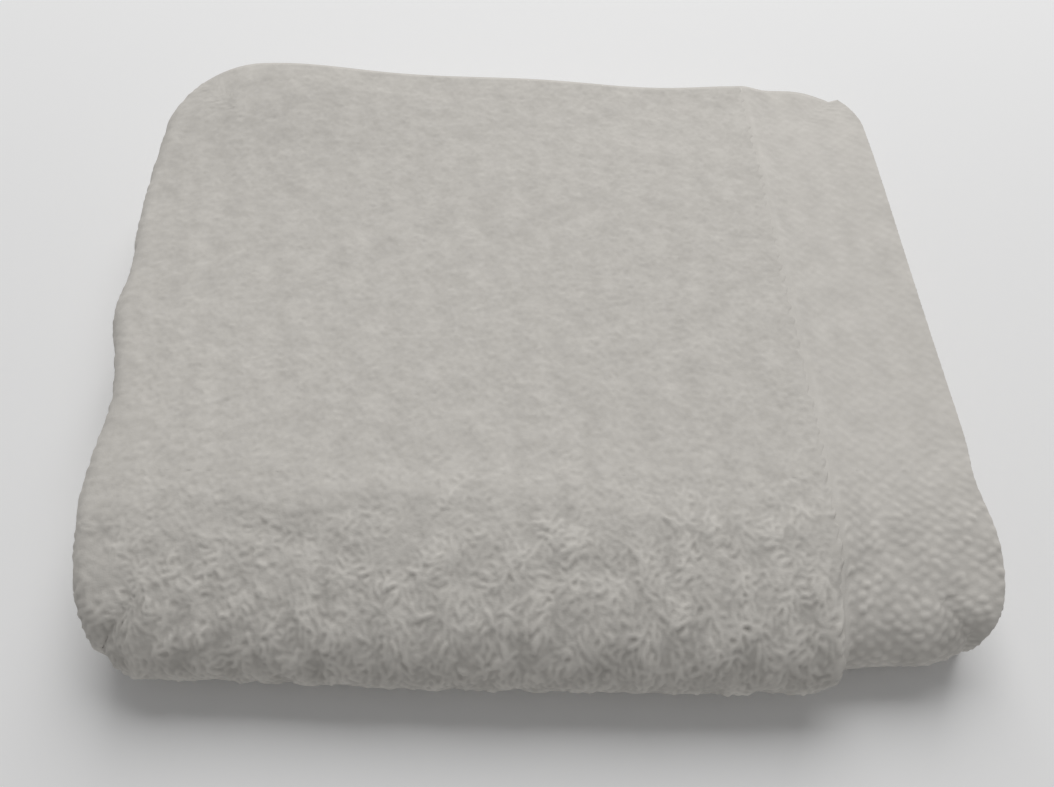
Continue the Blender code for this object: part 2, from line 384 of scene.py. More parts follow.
def round_front(points):
    """Turns the droop and the upper half of the nose into one even curve, a quarter of an oval."""
    middle = outer_face(TOP, NOSE_Y, SLAB) / 2
    run, drop = DROOP_START_Y + FOLDED_DEPTH / 2, outer_face(TOP, DROOP_START_Y, SLAB) - middle
    turns = np.linspace(0.0, math.pi / 2, 24)[1:-1]
    on_droop = np.linspace(DROOP_START_Y, NOSE_Y, 24)
    at_y = np.concatenate([on_droop, NOSE_Y - middle * np.sin(turns)])
    was = [outer_face(TOP, y, SLAB) - middle for y in on_droop] + list(middle * np.cos(turns))
    oval = drop * np.sqrt(1.0 - np.clip((DROOP_START_Y - at_y) / run, 0.0, 0.999) ** 2)
    stretch = np.interp(points[:, 1], at_y[::-1], (oval / was)[::-1])
    above = points[:, 2] > middle
    points[above, 2] = (middle + (points[:, 2] - middle) * stretch)[above]


print(len(CORNERS), "corners are drawn in by up to", round(1000 * CORNERS[0].reach), "mm")

# %% [markdown]
# ## Settling
# The stack is given the rest of the unevenness of a real one: soft swells, sides that lean, and
# a band that lies behind the pile beside it round the front. Creases, which are too fine for the
# solid, are added here, as soft troughs and ridges.

# %% Settle the stack
Crease = namedtuple("Crease", "x y turn along across rise")
CREASES = (
    Crease(-0.060, -0.094, 4.0, 0.110, 0.0070, 0.016),
    Crease(0.055, -0.104, -7.0, 0.070, 0.0060, 0.014),
    Crease(-0.105, -0.112, -14.0, 0.050, 0.0060, -0.020),
    Crease(0.020, -0.126, 6.0, 0.060, 0.0055, -0.018),
    Crease(0.116, 0.010, 88.0, 0.150, 0.0060, -0.014),
    Crease(-0.020, 0.110, 12.0, 0.090, 0.0160, -0.010),
    Crease(-0.120, 0.020, 70.0, 0.060, 0.0140, -0.008),
    Crease(0.165, -0.070, 60.0, 0.030, 0.0100, 0.010),
)


def crease_rise(crease, x, y):
    turn = math.radians(crease.turn)
    along = (x - crease.x) * math.cos(turn) + (y - crease.y) * math.sin(turn)
    across = (y - crease.y) * math.cos(turn) - (x - crease.x) * math.sin(turn)
    return crease.rise * hump(along / crease.along) * hump(across / crease.across)


def lean_out(leans, place):
    return sum(lean.out * hump((place - lean.place) / lean.width) for lean in leans)


def settle(points):
    """Gives the stack the unevenness of real cloth, with its underside left flat."""
    points = points.copy()
    round_front(points)
    points[:, 2] -= PLY_PITCH * cloth_share(points[:, 0]) * (1.0 - PLY_FILL) / 2
    for corner in CORNERS:
        round_corner(points, corner)
    x, y, z = points.T
    share_x = x / (FOLDED_LENGTH / 2)
    share_y = y / (FOLDED_DEPTH / 2)
    rise = sum(
        swell.rise * hump(np.hypot((x - swell.x) / swell.across_x, (y - swell.y) / swell.across_y))
        for swell in SWELLS
    )
    rise = rise + sum(crease_rise(crease, x, y) for crease in CREASES)
    out_x = np.where(share_x < 0.0, lean_out(LEFT_LEANS, y), lean_out(RIGHT_LEANS, y))
    out_y = np.where(share_y < 0.0, lean_out(FRONT_LEANS, x), lean_out(BACK_LEANS, x))
    under = UNDERCUT * ease(UNDERCUT_TOP, UNDERCUT_FOOT, z)
    recess = BAND_RECESS * ease(RECESS_START_X - under, RECESS_END_X - under / 2, x)
    recess = recess * ease(0.0, -NOSE_Y, -y)
    gathered = PILE_PULL * hump((x - PILE_END_X) / PULL_REACH) * ease(PULL_START_Y, PULL_END_Y, y)
    moved_x = x + share_x * np.abs(share_x) * out_x - gathered
    moved_y = y + share_y * np.abs(share_y) * out_y + recess
    return np.stack([moved_x - SKEW * y, moved_y - SKEW * x, z * (1.0 + rise)], axis=1)


def folded_middle():
    """The places of the cloth's middle, by row and column, centred on the solid."""
    x, level = np.array(section).T
    rows = [settle(fold_row(x, level, step)) for step in steps]
    middle = np.array(rows)
    middle[..., :2] -= SOLID_CENTRE
    return middle


middle = folded_middle()
print("folded", np.round(1000 * np.ptp(middle.reshape(-1, 3), axis=0)), "mm")

# %% [markdown]
# ## The woven ground
# A flat grid is added and its points are taken to their folded places. Its UV map holds how far
# each point lies along and across the flat cloth, in metres, so that a pattern on it turns with
# every fold as a weave does. Solidify then gives the ground its thickness on both sides.

# %% Fold the ground
GROUND_THICKNESS = 0.0031


def arc_lengths(line):
    """How far along a line of points each of them lies."""
    return np.concatenate([[0.0], np.cumsum(np.linalg.norm(np.diff(line, axis=0), axis=1))])


def cloth_scale():
    """How far each column lies along the cloth, and each row across it."""
    x, level = np.array(section).T
    along = arc_lengths(np.stack([x, level * PLY_PITCH], axis=1))
    outer = np.array([fold_row(np.zeros(1), np.full(1, 0.5), step)[0] for step in steps])
    return along, arc_lengths(outer)


def add_grid(name, wide, tall):
    """A flat grid of wide by tall points, with the column and the row of each of its points."""
    bpy.ops.object.select_all(action="DESELECT")
    bpy.ops.mesh.primitive_grid_add(x_subdivisions=wide - 1, y_subdivisions=tall - 1, size=1.0)
    piece = bpy.context.object
    piece.name = name
    flat = np.empty(3 * len(piece.data.vertices), np.float32)
    piece.data.vertices.foreach_get("co", flat)
    flat = flat.reshape(-1, 3)
    column = np.rint((flat[:, 0] + 0.5) * (wide - 1)).astype(int)
    row = np.rint((flat[:, 1] + 0.5) * (tall - 1)).astype(int)
    return piece, column, row


def fold_ground():
    ground, column, row = add_grid("terry_ground", columns, rows)
    mesh = ground.data
    corners = np.empty(len(mesh.loops), np.int32)
    mesh.loops.foreach_get("vertex_index", corners)
    cloth_places = np.stack([along[column], across[row]], axis=1)[corners]
    mesh.uv_layers[0].name = "cloth"
    mesh.uv_layers[0].data.foreach_set("uv", cloth_places.astype(np.float32).ravel())
    mesh.vertices.foreach_set("co", middle[row, column].astype(np.float32).ravel())
    mesh.update()
    thickness = ground.modifiers.new("thickness", "SOLIDIFY")
    thickness.thickness = GROUND_THICKNESS
    thickness.offset = 0.0
    thickness.use_even_offset = True
    bpy.ops.object.modifier_apply(modifier=thickness.name)
    ground.data.shade_smooth()
    return ground


rows, columns = middle.shape[:2]
along, across = cloth_scale()
ground = fold_ground()
print("cloth", round(along[-1], 3), "by", round(across[-1], 3), "m,", rows * columns, "grid points")

# %% [markdown]
# ## What shows of the cloth
# Only a small part of the cloth shows. From each point of the ground rays are sent out, as if
# the point looked around, and the share of them that meets nothing says how open it lies. Yarn
# is planted only there, also a little way in between the plies.

# %% Look out from the cloth
LOOK_TILTS = ((0.0, 1), (50.0, 6))  # degrees from the normal, and how many rays
LOOK_REACH = 0.08
LOOK_START = 0.0004  # above the ground's face


def frames_of(places):
    """Unit directions along the cloth, across it and out of it, for a grid of places."""
    way_along = np.gradient(places, axis=1)
    way_across = np.gradient(places, axis=0)
    out = np.cross(way_along, way_across)
    out /= np.linalg.norm(out, axis=-1, keepdims=True)
    way_along /= np.linalg.norm(way_along, axis=-1, keepdims=True)
    return way_along, np.cross(out, way_along), out


def openness(side):
    """The share of rays that leave each grid point on one side of the cloth and meet nothing."""
    mesh = ground.data
    faces = [tuple(face.vertices) for face in mesh.polygons]
    points = [vert.co.copy() for vert in mesh.vertices]
    faces.append(tuple(range(len(points), len(points) + 4)))
    half = FLOOR_SIZE / 2
    floor_corners = ((-half, -half), (half, -half), (half, half), (-half, half))
    points += [Vector((x, y, -FLOOR_DROP)) for x, y in floor_corners]
    tree = BVHTree.FromPolygons(points, faces)
    share = np.zeros((rows, columns))
    for tilt, count in LOOK_TILTS:
        for number in range(count):
            turn = 2.0 * math.pi * number / count
            sideways = math.sin(math.radians(tilt))
            heading = (
                side * cloth_out * math.cos(math.radians(tilt))
                + cloth_along * sideways * math.cos(turn)
                + cloth_across * sideways * math.sin(turn)
            )
            starts = middle + side * cloth_out * (GROUND_THICKNESS / 2 + LOOK_START)
            for row in range(rows):
                for column in range(columns):
                    hit = tree.ray_cast(starts[row, column], heading[row, column], LOOK_REACH)
                    share[row, column] += hit[0] is None
    return share / sum(count for tilt, count in LOOK_TILTS)


cloth_along, cloth_across, cloth_out = frames_of(middle)
top_column = int(np.argmin(np.abs(along - 0.2)))
OUTER = 1 if cloth_out[5, top_column, 2] > 0.0 else -1  # the side that looks up on the top ply
open_share = {side: openness(side) for side in (OUTER, -OUTER)}
for side, share in open_share.items():
    print("side", side, "lies open on", round(float((share > 0.1).mean()), 3), "of the cloth")

# %% [markdown]
# ## Reading the cloth between its grid points
# The loops stand much closer than the grid does, so their places are worked out between four
# grid points, in proportion.
#
# Nothing on cloth is quite even. `ripple` adds up a few seeded waves, and every uneven
# thing below is made from such ripples: the pile's way, its tufts and its tone.

# %% Read places on the cloth
def on_cloth(s, t, side):
    """Place, directions and openness at each s along and t across the cloth, on one of its sides."""
    column = np.clip(np.searchsorted(along, s) - 1, 0, columns - 2)
    row = np.clip(np.searchsorted(across, t) - 1, 0, rows - 2)
    part_s = ((s - along[column]) / (along[column + 1] - along[column]))[:, None]
    part_t = ((t - across[row]) / (across[row + 1] - across[row]))[:, None]

    def between(grid):
        near = grid[row, column] * (1 - part_s) + grid[row, column + 1] * part_s
        far = grid[row + 1, column] * (1 - part_s) + grid[row + 1, column + 1] * part_s
        return near * (1 - part_t) + far * part_t

    out = between(cloth_out)
    out *= side / np.linalg.norm(out, axis=1, keepdims=True)
    place = between(middle) + out * GROUND_THICKNESS / 2
    way_along = between(cloth_along)
    way_along -= out * (way_along * out).sum(axis=1, keepdims=True)
    way_along /= np.linalg.norm(way_along, axis=1, keepdims=True)
    shown = between(open_share[side][..., None])[:, 0]
    return place, way_along, np.cross(out, way_along), out, shown


def ripple(s, t, wavelength, seed, waves=16):
    """Smooth seeded unevenness over the cloth, mostly between -1 and 1."""
    rng = np.random.default_rng(seed)
    total = np.zeros_like(s)
    for turn, phase, stretch in zip(
        rng.uniform(0.0, math.pi, waves),
        rng.uniform(0.0, 2.0 * math.pi, waves),
        rng.uniform(0.7, 1.6, waves),
    ):
        length = wavelength * stretch
        total += np.sin(2.0 * math.pi * (s * math.cos(turn) + t * math.sin(turn)) / length + phase)
    return total / math.sqrt(waves / 2)


Wave = namedtuple("Wave", "amount length seed")


def ripples(s, t, waves):
    return sum(wave.amount * ripple(s, t, wave.length, wave.seed) for wave in waves)


def woven_places(pitch, jitter, seed):
    """Rows of places over the flat cloth, a pitch apart, each one a little off its row."""
    rng = np.random.default_rng(seed)
    s_rows = np.arange(pitch / 2, along[-1], pitch)
    t_rows = np.arange(pitch / 2, across[-1], pitch)
    s, t = np.meshgrid(s_rows, t_rows)
    s[1::2] += pitch / 2
    s = s.ravel() + rng.uniform(-jitter, jitter, s.size) * pitch
    t = t.ravel() + rng.uniform(-jitter, jitter, t.size) * pitch
    keep = (s > 0.0) & (s < along[-1]) & (t > 0.0) & (t < across[-1])
    return s[keep], t[keep]


print("at a pitch of 3 mm the flat cloth has", len(woven_places(0.003, 0.0, 1)[0]), "places")

# %% [markdown]
# ## One loop of yarn
# A terry loop is a short arch of soft yarn with both feet in the ground. It is modelled once, as
# a ring cut in half and stretched, and then copied thousands of times, each copy with its own
# lean, turn and size. A copy has only a few dozen faces, because at this size the eye sees
# the crowd of loops and not the one loop.

# %% Model the loop
LOOP_SPREAD = 0.5  # half the distance between its legs, with the loop one unit high


def model_loop(name, segments, sides, yarn):
    """An arch of yarn, one unit high, standing on the origin in the XZ plane."""
    bpy.ops.object.select_all(action="DESELECT")
    bpy.ops.mesh.primitive_torus_add(
        major_radius=LOOP_SPREAD,
        minor_radius=yarn,
        major_segments=segments,
        minor_segments=sides,
        rotation=(math.pi / 2, 0.0, 0.0),
    )
    loop = bpy.context.object
    loop.name = name
    bpy.ops.object.transform_apply(rotation=True)
    bpy.ops.object.mode_set(mode="EDIT")
    bpy.ops.mesh.select_all(action="SELECT")
    bpy.ops.mesh.bisect(
        plane_co=(0.0, 0.0, 0.0),
        plane_no=(0.0, 0.0, 1.0),
        use_fill=True,
        clear_inner=True,
    )
    bpy.ops.mesh.select_all(action="SELECT")
    high = 1.0 / (LOOP_SPREAD + yarn)
    bpy.ops.transform.resize(value=(1.0, 1.0, high), center_override=(0.0, 0.0, 0.0))
    bpy.ops.object.mode_set(mode="OBJECT")
    return loop


def shape_of(model):
    """A model's points and faces as arrays, its faces cut to triangles. The model is removed."""
    mesh = model.data
    mesh.calc_loop_triangles()
    points = np.array([vert.co for vert in mesh.vertices])
    faces = np.array([triangle.vertices for triangle in mesh.loop_triangles])
    bpy.data.objects.remove(model)
    return points, faces


side_loop = shape_of(model_loop("side_loop", segments=8, sides=3, yarn=0.20))
print("faces in a loop:", len(side_loop[1]))

# %% [markdown]
# ## Joining the copies
# All copies of a shape are worked out together as arrays and joined into one mesh, which takes a
# second where thousands of objects would take minutes. Yarn is fuzzy, so light does not see
# its surface as a hard tube: each point's normal is turned part of the way to the cloth's own.

# %% Join the copies
FUZZ = 0.75  # how far a normal turns from the yarn's to the cloth's


def join_copies(name, where, faces, out, shade):
    """One piece of many copies: where holds each copy's points, and out the way it faces."""
    count, size = where.shape[:2]
    where[..., 2] = np.maximum(where[..., 2], 0.0)
    triangles = (faces[None] + (np.arange(count) * size)[:, None, None]).reshape(-1, 3)
    mesh = bpy.data.meshes.new(name)
    mesh.vertices.add(count * size)
    mesh.vertices.foreach_set("co", where.astype(np.float32).ravel())
    mesh.loops.add(triangles.size)
    mesh.loops.foreach_set("vertex_index", triangles.astype(np.int32).ravel())
    mesh.polygons.add(len(triangles))
    mesh.polygons.foreach_set("loop_start", np.arange(0, triangles.size, 3, dtype=np.int32))
    mesh.update(calc_edges=True)
    mesh.validate()
    tone = mesh.attributes.new("shade", "FLOAT", "POINT")
    tone.data.foreach_set("value", np.repeat(shade, size).astype(np.float32))
    mesh.shade_smooth()
    normals = np.empty(3 * len(mesh.vertices), np.float32)
    mesh.vertex_normals.foreach_get("vector", normals)
    normals = (1.0 - FUZZ) * normals.reshape(-1, 3) + FUZZ * np.repeat(out, size, axis=0)
    normals /= np.linalg.norm(normals, axis=1, keepdims=True)
    mesh.normals_split_custom_set_from_vertices(normals)
    piece = bpy.data.objects.new(name, mesh)
    bpy.context.scene.collection.objects.link(piece)
    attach(piece, "root")
    print(name, count, "copies,", len(triangles), "triangles")
    return piece


# %% [markdown]
# ## Planting loops
# Each loop bends over along an arc: it leaves the ground at one slant and ends at another,
# leaning in its own direction. A roll about its own line turns its flat side up or aside.

# %% Plant the loops
Growth = namedtuple("Growth", "length width thick start end roll sink shade")
print("each loop has its own", ", ".join(Growth._fields))


def plant(name, shape, place, out, lean, growth):
    """Joins one bent copy of shape at each place into a piece of its own."""
    points, faces = shape
    start, end = growth.start[:, None], growth.end[:, None]
    turned = start + (end - start) * points[None, :, 2]
    spread = np.maximum(end - start, 1e-3)
    rise = (np.sin(turned) - np.sin(start)) / spread
    reach = (np.cos(start) - np.cos(turned)) / spread
    sideways = np.cross(out, lean)
    axis = out[:, None] * np.cos(turned)[..., None] + lean[:, None] * np.sin(turned)[..., None]
    flat = np.cross(axis, sideways[:, None])
    cos_roll, sin_roll = np.cos(growth.roll)[:, None, None], np.sin(growth.roll)[:, None, None]
    legs = sideways[:, None] * cos_roll + flat * sin_roll
    flank = flat * cos_roll - sideways[:, None] * sin_roll
    arc = out[:, None] * rise[..., None] + lean[:, None] * reach[..., None]
    where = (
        (place - out * growth.sink[:, None])[:, None]
        + growth.length[:, None, None] * arc
        + growth.width[:, None, None] * legs * points[None, :, 0, None]
        + growth.thick[:, None, None] * flank * points[None, :, 1, None]
    )
    return join_copies(name, where, faces, out, growth.shade)


# %% [markdown]
# ## How the pile lies
# On top, hands and other linen have pressed the loops down, so they lie flat, every way. Round
# the front the pile hangs free: it falls in tufts, each one fanning out from its own middle, with
# dark partings between the tufts. The sides are in between. So each loop is given a share, from
# 0 where the pile is pressed to 1 where it hangs free, and its lie and size follow from it.

# %% Sort the pile
PILE_END = BAND_WIDTH - 0.0015  # how far from the hem the last loops stand
INNER_PILE_END = PILE_END - INNER_HEM_INSET
LEAST_OPEN = 0.10  # yarn is planted where at least this share of the rays met nothing
PLUSH_START_Y, PLUSH_END_Y = -0.066, -0.142  # between these the pile comes to hang free
PLUSH_EDGE = (Wave(0.010, 0.030, 41), Wave(0.006, 0.004, 42))
PLUSH_TILT = 0.012  # how much nearer to the middle that begins at the right than at the left
SIDE_PLUSH = 0.45


def has_pile(s):
    return (s > PILE_END) & (s < along[-1] - INNER_PILE_END)


def plush_share(s, t, place, out):
    """0 on the pressed top, 1 round the front, and in between on the sides."""
    uneven = ripples(s, t, PLUSH_EDGE) + PLUSH_TILT * ease(0.060, -0.120, place[:, 0])
    front = ease(PLUSH_START_Y, PLUSH_END_Y, place[:, 1] + uneven)
    sides = SIDE_PLUSH * ease(0.80, 0.45, out[:, 2])
    return np.maximum(front, sides)


sample_s, sample_t = woven_places(0.010, 0.0, 1)
place, way_along, way_across, out, shown = on_cloth(sample_s, sample_t, OUTER)
hangs = plush_share(sample_s, sample_t, place, out) > 0.5
print("the pile hangs free on", round(float(hangs.mean()), 2), "of the outer face")

# %% [markdown]
# The pile of a used towel leans in swirls, wherever a hand last brushed it. Where it hangs free,
# it parts into tufts as well. So the way in which a loop leans is a sum of three: the swirl, the
# way out from the middle of its tuft, and the way down.

# %% Lean the pile
TUFT = 0.0180  # from the middle of one tuft to the next
TUFT_JITTER = 0.38
TUFT_REACH = 0.62
SWIRL = (Wave(0.8, 0.034, 11), Wave(0.30, 0.009, 12))  # in half turns
SWIRL_JITTER = 0.30
FAN_SEED = 5
FAN = 1.05  # how much of the way out from its tuft's middle a free loop takes
FALL, HANGING_FALL = 1.5, 0.5  # how much of the way down it takes, and how much more at the band
CALMED, STRAIGHTENED = 0.45, 0.85  # how much of its swirl it loses there


def tuft_fans(s, t, seed):
    """For each place, the way from the middle of its tuft, and how far out it lies, 0 to 1."""
    rng = np.random.default_rng(seed)
    s_rows, t_rows = np.arange(0.0, along[-1], TUFT), np.arange(0.0, across[-1], TUFT)
    middle_s, middle_t = np.meshgrid(s_rows, t_rows)
    middle_s[1::2] += TUFT / 2
    middle_s = middle_s.ravel() + rng.uniform(-TUFT_JITTER, TUFT_JITTER, middle_s.size) * TUFT
    middle_t = middle_t.ravel() + rng.uniform(-TUFT_JITTER, TUFT_JITTER, middle_t.size) * TUFT
    tree = KDTree(middle_s.size)
    for number, (u, v) in enumerate(zip(middle_s, middle_t)):
        tree.insert((u, v, 0.0), number)
    tree.balance()
    nearest = np.array([tree.find((u, v, 0.0))[1] for u, v in zip(s, t)])
    away_s, away_t = s - middle_s[nearest], t - middle_t[nearest]
    far = np.hypot(away_s, away_t)
    return away_s / (TUFT / 2), away_t / (TUFT / 2), np.clip(far / (TUFT * TUFT_REACH), 0.0, 1.0)


def lie_of(s, t, way_along, way_across, out, plush, hanging, seed):
    """Which way each loop leans, and how far from the middle of its tuft it stands."""
    rng = np.random.default_rng(seed)
    swirl = math.pi * ripples(s, t, SWIRL) + rng.normal(0.0, SWIRL_JITTER, s.size)
    fan_s, fan_t, far = tuft_fans(s, t, FAN_SEED)
    fall = np.array([0.0, 0.0, -1.0]) + out * out[:, 2:3]
    free = (1.0 - STRAIGHTENED * hanging)[:, None]
    brushed = way_along * np.cos(swirl)[:, None] + way_across * np.sin(swirl)[:, None]
    fanned = way_along * fan_s[:, None] + way_across * fan_t[:, None]
    lean = brushed * (1.0 - CALMED * plush)[:, None] * free
    lean += fanned * (FAN * plush)[:, None] * free
    lean += fall * (FALL * plush + HANGING_FALL * hanging)[:, None]
    lean -= out * (lean * out).sum(axis=1, keepdims=True)
    lean /= np.linalg.norm(lean, axis=1, keepdims=True)
    return lean, far


print("tufts are", 1000 * TUFT, "mm apart")

# %% [markdown]
# ## Where a skin of crowns lies
# Where loops lie close, each one shows only its crown: a short, curved, rounded ridge that its
# neighbours partly cover. So the thick of the pile is one skin over the ground. It is made in
# patches, so that each piece stays small enough: on the top, round the front, at the left side
# and at the back. The patches of the front are the finest, because they show best.

# %% Lay out the patches
Patch = namedtuple("Patch", "name low_s high_s low_t high_t pitch")
PILE_START = PILE_END - 0.0008
LEFT_S = FOLDED_LENGTH - 0.020
TURN_S = FOLDED_LENGTH + 0.034
TOP_SPLIT_S, FRONT_SPLIT_S = 0.200, 0.210
SEAM = 0.0008  # how far a patch reaches over the next one, so that no gap shows between them


def t_of(third, y):
    """How far across the cloth the place y of a third lies."""
    flat_rows = [
        row for row, (owner, after, place) in enumerate(steps) if owner is third and after is None
    ]
    ys = np.array([steps[row][2] for row in flat_rows])
    order = np.argsort(ys)
    return float(np.interp(y, ys[order], across[flat_rows][order]))


FRONT_T = t_of(TOP, -0.085)
UNDER_T = t_of(BOTTOM, -0.118)
BACK_LOW_T = t_of(BOTTOM, 0.125)
BACK_HIGH_T = t_of(MIDDLE, 0.130)
PATCHES = (
    Patch("pile_top_left", TOP_SPLIT_S, LEFT_S + SEAM, 0.0, FRONT_T + SEAM, 0.00072),
    Patch("pile_top_right", PILE_START, TOP_SPLIT_S, 0.0, FRONT_T + SEAM, 0.00072),
    Patch("pile_front_left", FRONT_SPLIT_S, LEFT_S + SEAM, FRONT_T, UNDER_T, 0.00058),
    Patch("pile_front_right", PILE_START, FRONT_SPLIT_S, FRONT_T, UNDER_T, 0.00058),
    Patch("pile_left_side", LEFT_S, TURN_S, 0.0, float(across[-1]), 0.00090),
    Patch("pile_back", PILE_START, LEFT_S, BACK_LOW_T, BACK_HIGH_T, 0.00100),
)


def in_patches(s, t, margin):
    """True for the places that lie in a patch, or within a margin of one."""
    inside = np.zeros(s.size, bool)
    for patch in PATCHES:
        inside |= (
            (s > patch.low_s - margin) & (s < patch.high_s + margin)
            & (t > patch.low_t - margin) & (t < patch.high_t + margin)
        )
    return inside


print(len(PATCHES), "patches, the front ones from", round(FRONT_T, 3), "to", round(UNDER_T, 3), "m")

# %% [markdown]
# ## Crowns pressed together
# The crowns are laid over the whole cloth first, so the skin is the same on both sides of every
# seam. On top they are small, low and close. Towards the front they stand up little by little,
# and round the front they are longer, higher and further apart, with some tufts standing higher
# than others.

# %% Lay out the crowns
Crowns = namedtuple("Crowns", "s t heading curl length radius height base")
CrownSize = namedtuple("CrownSize", "length radius height uneven")
PRESSED = CrownSize(0.0024, 0.00092, 0.00032, 0.00012)
BRUSHED_UP = CrownSize(0.0, 0.0, 0.00014, 0.00007)  # what it gains on the way to the front
HANGING = CrownSize(0.0020, 0.00004, 0.00042, 0.00013)  # and what it gains round the front
BRUSHED_UP_START_Y, BRUSHED_UP_END_Y = 0.060, -0.070
TOP_PITCH, FRONT_PITCH = 0.00175, 0.00225
CROWN_JITTER = 0.42
SHAGGY = 0.35  # from this share of plush on, the crowns are the long ones of the front
SHAGGY_EDGE = (Wave(0.14, 0.005, 43),)
WINDOW_MARGIN = 0.006
HEADING_SPREAD, CURL_SPREAD = 0.20, 0.34  # radians
NEAR_START, NEAR_END = 0.008, 0.002  # from the end of the pile
TUFT_RISE = 0.00070
PARTING = 0.7  # how much lower the crowns between two tufts are, as a share of that
TUFT_WAVES = (Wave(0.5, 0.016, 21),)
MOTTLE = (Wave(0.00010, 0.006, 22), Wave(0.00010, 0.012, 23))


def near_the_band(s, plush):
    """1 for the free pile next to the band, which hangs straight down, and 0 further in."""
    return ease(PILE_END + NEAR_START, PILE_END + NEAR_END, s) * plush


def lay_crowns(pitch, shaggy, seed):
    """Crowns over the parts of the cloth's outer face that show, either pressed or shaggy ones."""
    s, t = woven_places(pitch, CROWN_JITTER, seed)
    keep = in_patches(s, t, WINDOW_MARGIN)
    s, t = s[keep], t[keep]
    place, way_along, way_across, out, shown = on_cloth(s, t, OUTER)
    plush = plush_share(s, t, place, out)
    keep = (plush + ripples(s, t, SHAGGY_EDGE) >= SHAGGY) == shaggy
    s, t, place, way_along, way_across, out, plush = [
        array[keep] for array in (s, t, place, way_along, way_across, out, plush)
    ]
    rng = np.random.default_rng(seed)
    straight = near_the_band(s, plush)
    lean, far = lie_of(s, t, way_along, way_across, out, plush, straight, seed)
    heading = np.arctan2((lean * way_across).sum(axis=1), (lean * way_along).sum(axis=1))
    heading += rng.normal(0.0, HEADING_SPREAD, s.size) * (1.0 - straight)
    up = ease(BRUSHED_UP_START_Y, BRUSHED_UP_END_Y, place[:, 1])
    height = PRESSED.height + BRUSHED_UP.height * up + HANGING.height * plush**2
    uneven = PRESSED.uneven + BRUSHED_UP.uneven * up + HANGING.uneven * plush**2
    tufts = TUFT_RISE * plush**2 * (ripples(s, t, TUFT_WAVES) + PARTING * (0.5 - far))
    return Crowns(
        s=s,
        t=t,
        heading=heading,
        curl=rng.normal(0.0, CURL_SPREAD, s.size),
        length=(PRESSED.length + HANGING.length * plush) * rng.uniform(0.6, 1.4, s.size),
        radius=(PRESSED.radius + HANGING.radius * plush) * rng.uniform(0.85, 1.15, s.size),
        height=height * rng.uniform(0.8, 1.2, s.size),
        base=uneven * rng.normal(0.0, 1.0, s.size) + tufts + ripples(s, t, MOTTLE),
    )


pressed = lay_crowns(TOP_PITCH, False, 61)
shaggy = lay_crowns(FRONT_PITCH, True, 62)
print(len(pressed.s), "pressed crowns and", len(shaggy.s), "long ones")

# %% [markdown]
# ## Stamping
# Each crown is stamped into the skin's height as a row of small domes, as a coin is struck. Where
# two crowns meet, the higher one shows. The height is worked out on each patch's own fine
# grid. A dome reaches only a few grid points, so all domes are stamped together, one ring of
# neighbours at a time. Yarn has no hard edges, so the height is then softened.

# %% Stamp the crowns
DOMES = 9  # in each crown
DOME_FALL = 0.55  # how much lower a crown is at its ends
MARGIN = 8  # grid lines worked out beyond each side of a patch, so that its seams match
SOFT = 0.00058  # how far the edges of the crowns are softened


def stamp(height, s_lines, t_lines, crowns):
    """Raises the skin's height wherever a dome of a crown stands above it."""
    half = DOMES // 2
    s_pitch, t_pitch = s_lines[1] - s_lines[0], t_lines[1] - t_lines[0]
    reach = int(np.ceil(crowns.radius.max() / min(s_pitch, t_pitch)))
    for number in range(-half, half + 1):
        part = number / half
        turned = crowns.heading + crowns.curl * part
        step = crowns.length / 2 * part
        dome_s = crowns.s + step * np.cos(turned)
        dome_t = crowns.t + step * np.sin(turned)
        peak = crowns.base + crowns.height * math.sqrt(1.0 - DOME_FALL * part * part)
        near_s = np.rint((dome_s - s_lines[0]) / s_pitch).astype(int)
        near_t = np.rint((dome_t - t_lines[0]) / t_pitch).astype(int)
        for off_s in range(-reach, reach + 1):
            for off_t in range(-reach, reach + 1):
                column, row = near_s + off_s, near_t + off_t
                away_s = s_lines[0] + column * s_pitch - dome_s
                away_t = t_lines[0] + row * t_pitch - dome_t
                away = (away_s**2 + away_t**2) / crowns.radius**2
                keep = (away < 1.0) & (column >= 0) & (row >= 0)
                keep &= (column < len(s_lines)) & (row < len(t_lines))
                raised = (peak - crowns.height * away)[keep]
                np.maximum.at(height, (row[keep], column[keep]), raised)


def smooth(height):
    """Each point takes a share of its neighbours' height."""
    padded = np.pad(height, 1, mode="edge")
    beside = padded[1:-1, :-2] + padded[1:-1, 2:] + padded[:-2, 1:-1] + padded[2:, 1:-1]
    return 0.5 * height + 0.125 * beside


def softened(height, reach, pitch):
    """The height once it is smoothed as often as it takes to reach a distance on its grid."""
    for _ in range(max(1, round((2.0 * reach / pitch) ** 2))):
        height = smooth(height)
    return height


def lines_of(low, high, pitch):
    count = round((high - low) / pitch)
    return low + (high - low) * np.arange(-MARGIN, count + 1 + MARGIN) / count


def inner(grid):
    return grid[MARGIN:-MARGIN, MARGIN:-MARGIN]


print(DOMES, "domes in each of", len(pressed.s) + len(shaggy.s), "crowns")
